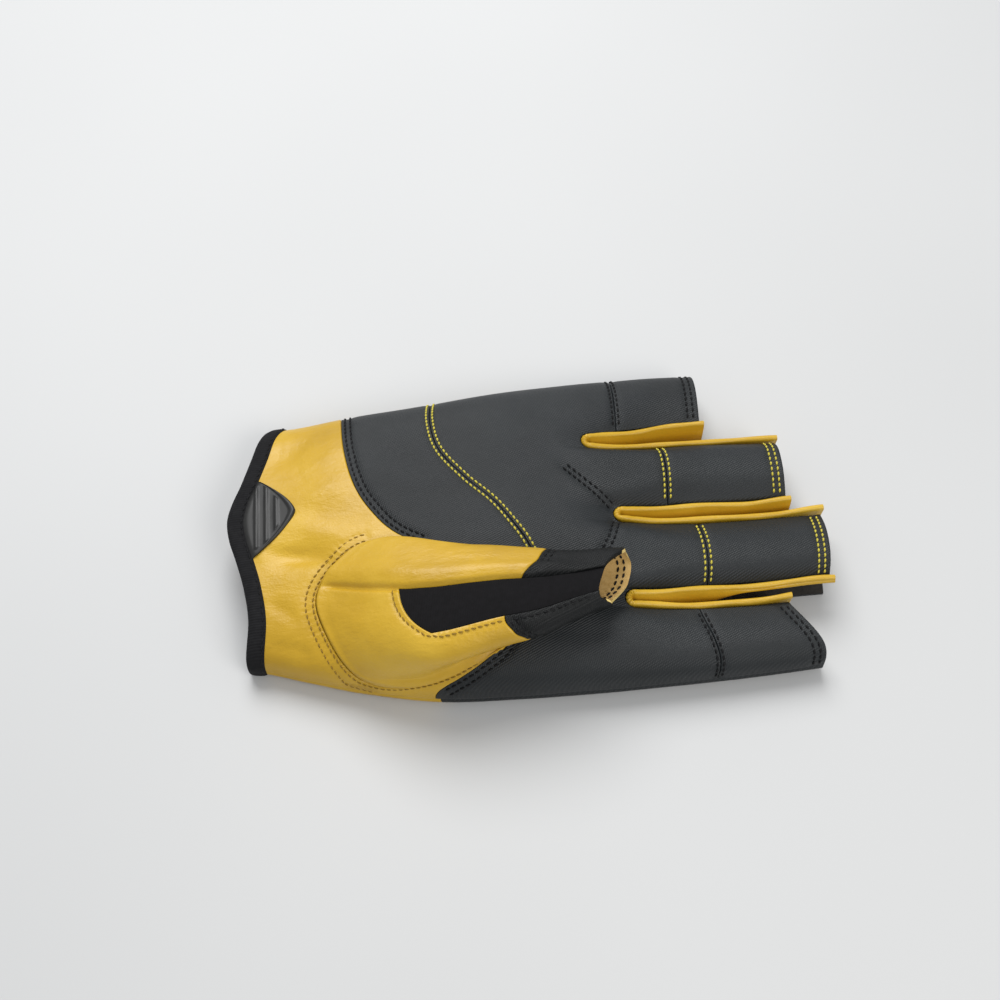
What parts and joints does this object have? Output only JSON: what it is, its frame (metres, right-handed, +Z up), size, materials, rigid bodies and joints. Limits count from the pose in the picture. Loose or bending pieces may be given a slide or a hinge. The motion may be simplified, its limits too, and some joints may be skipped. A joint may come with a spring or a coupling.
{
  "type": "sailing glove",
  "caption": "Right-hand short-finger leather sailing glove lying palm up, with its thumb folded across the palm; a hand goes in at the bound cuff.",
  "frame": {"origin": "centre of the glove's box, on the surface that the back of the glove lies on", "axes": "+X from the cuff to the finger ends, +Y from the thumb side to the little finger's side, +Z up, away from the back of the glove"},
  "size_m": [0.175, 0.1022, 0.035],
  "materials": {
    "soft_leather": "smooth soft yellow leather with a low sheen",
    "palm_leather": "black coated leather with a fine diagonal grain",
    "stretch": "matt black knitted stretch fabric",
    "binding": "matt black folded tape",
    "patch": "dark moulded rubber, slightly glossy"
  },
  "bodies": {
    "root": {"wrist_panel": "soft_leather", "palm_heel_panel": "palm_leather", "palm_finger_panel": "palm_leather", "finger_end_index": "palm_leather", "finger_end_middle": "palm_leather", "finger_end_ring": "palm_leather", "finger_end_little": "palm_leather", "back_panel": "soft_leather", "back_finger_panel": "palm_leather", "cuff_binding": "binding", "wrist_patch": "patch", "fourchette_index_middle": "soft_leather", "fourchette_middle_ring": "soft_leather", "fourchette_ring_little": "soft_leather", "thumb_panel": "soft_leather", "thumb_tip": "palm_leather", "thumb_insert": "stretch"}
  },
  "joints": []
}
